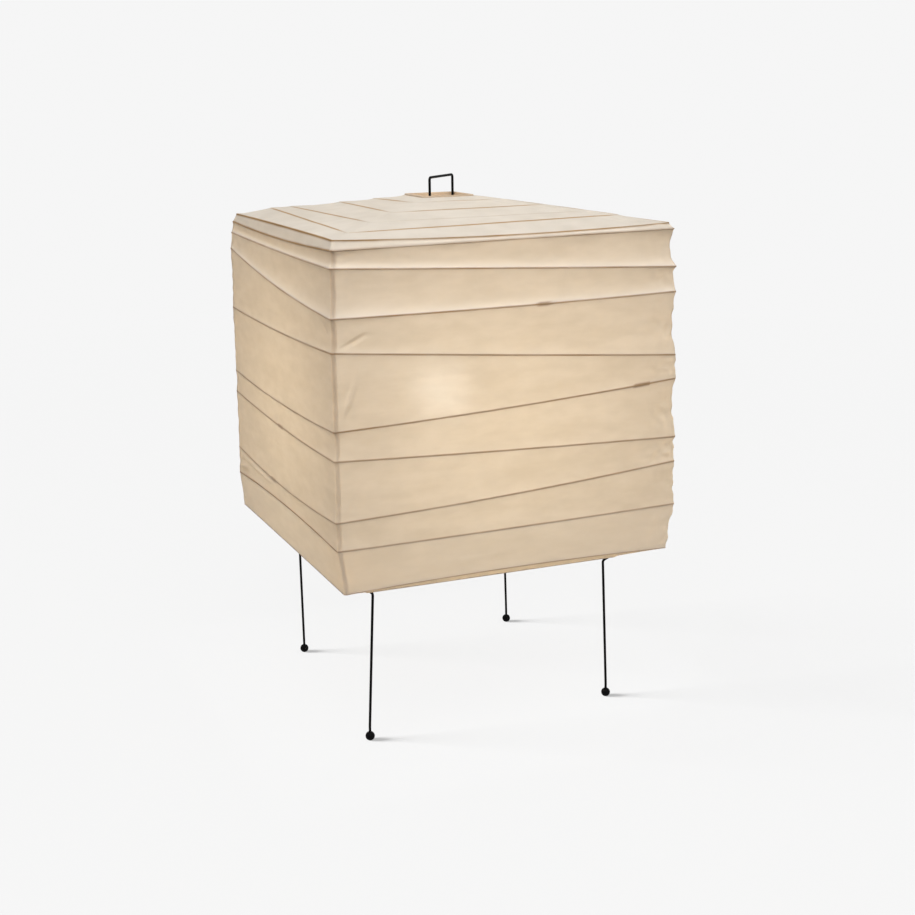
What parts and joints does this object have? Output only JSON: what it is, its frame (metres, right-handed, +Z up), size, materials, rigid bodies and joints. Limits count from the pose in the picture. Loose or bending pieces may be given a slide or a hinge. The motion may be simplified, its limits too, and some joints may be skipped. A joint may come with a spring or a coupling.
{
  "type": "paper table lamp",
  "caption": "Square paper lantern lamp: a box shade of paper over skew bent ribs that lifts off a wire stand with ball feet, a top handle loop, a lampholder and a round bulb.",
  "frame": {"origin": "on the surface that the lamp stands on, under the middle of the shade", "axes": "+Z up along the lamp's axis, -Y towards the front face of the shade, +X towards its right face"},
  "size_m": [0.3796, 0.3796, 0.5801],
  "materials": {
    "shade_paper": "matte, warm, lets light through",
    "rib_bamboo": "split bamboo, satin",
    "black_wire": "satin black",
    "black_rubber": "matte",
    "zinc_steel": "zinc plated",
    "black_plastic": "moulded, satin",
    "white_porcelain": "glazed",
    "brass": "bright",
    "frosted_glass": "frosted, lit"
  },
  "bodies": {
    "stand": {"stretcher_wire": "black_wire", "leg_front_left": "black_wire", "leg_front_right": "black_wire", "leg_back_right": "black_wire", "leg_back_left": "black_wire", "foot_front_left": "black_rubber", "foot_front_right": "black_rubber", "foot_back_right": "black_rubber", "foot_back_left": "black_rubber", "holder_plate": "zinc_steel", "stem_tube": "zinc_steel", "stem_nut_upper": "zinc_steel", "stem_nut_lower": "zinc_steel", "cord_gland": "black_plastic", "holder_cap": "black_plastic", "holder_skirt": "black_plastic", "holder_insert": "white_porcelain", "holder_screw_shell": "brass", "holder_contact": "brass"},
    "shade": {"paper_front": "shade_paper", "paper_right": "shade_paper", "paper_back": "shade_paper", "paper_left": "shade_paper", "paper_top_front": "shade_paper", "paper_top_right": "shade_paper", "paper_top_back": "shade_paper", "paper_top_left": "shade_paper", "paper_bottom_front": "shade_paper", "paper_bottom_right": "shade_paper", "paper_bottom_back": "shade_paper", "paper_bottom_left": "shade_paper", "rib_side_1": "rib_bamboo", "rib_side_2": "rib_bamboo", "rib_side_3": "rib_bamboo", "rib_side_4": "rib_bamboo", "rib_side_5": "rib_bamboo", "rib_side_6": "rib_bamboo", "rib_side_7": "rib_bamboo", "rib_top_1": "rib_bamboo", "rib_top_2": "rib_bamboo", "rib_top_3": "rib_bamboo", "rib_top_4": "rib_bamboo", "rib_rim": "rib_bamboo", "rib_eave": "rib_bamboo", "rib_base": "rib_bamboo", "top_frame": "rib_bamboo", "bottom_frame": "rib_bamboo"},
    "bulb": {"bulb_glass": "frosted_glass", "bulb_cap": "brass", "bulb_insulator": "black_plastic", "bulb_contact": "brass"}
  },
  "joints": [
    {"name": "shade_lift", "type": "slide", "parent": "stand", "child": "shade", "axis": [0, 0, 1], "range_m": [0, 0.43]},
    {"name": "bulb_turn", "type": "hinge", "parent": "stand", "child": "bulb", "pos_m": [0, 0, 0.282], "axis": [0, 0, 1], "range_deg": [0, 1080]}
  ]
}
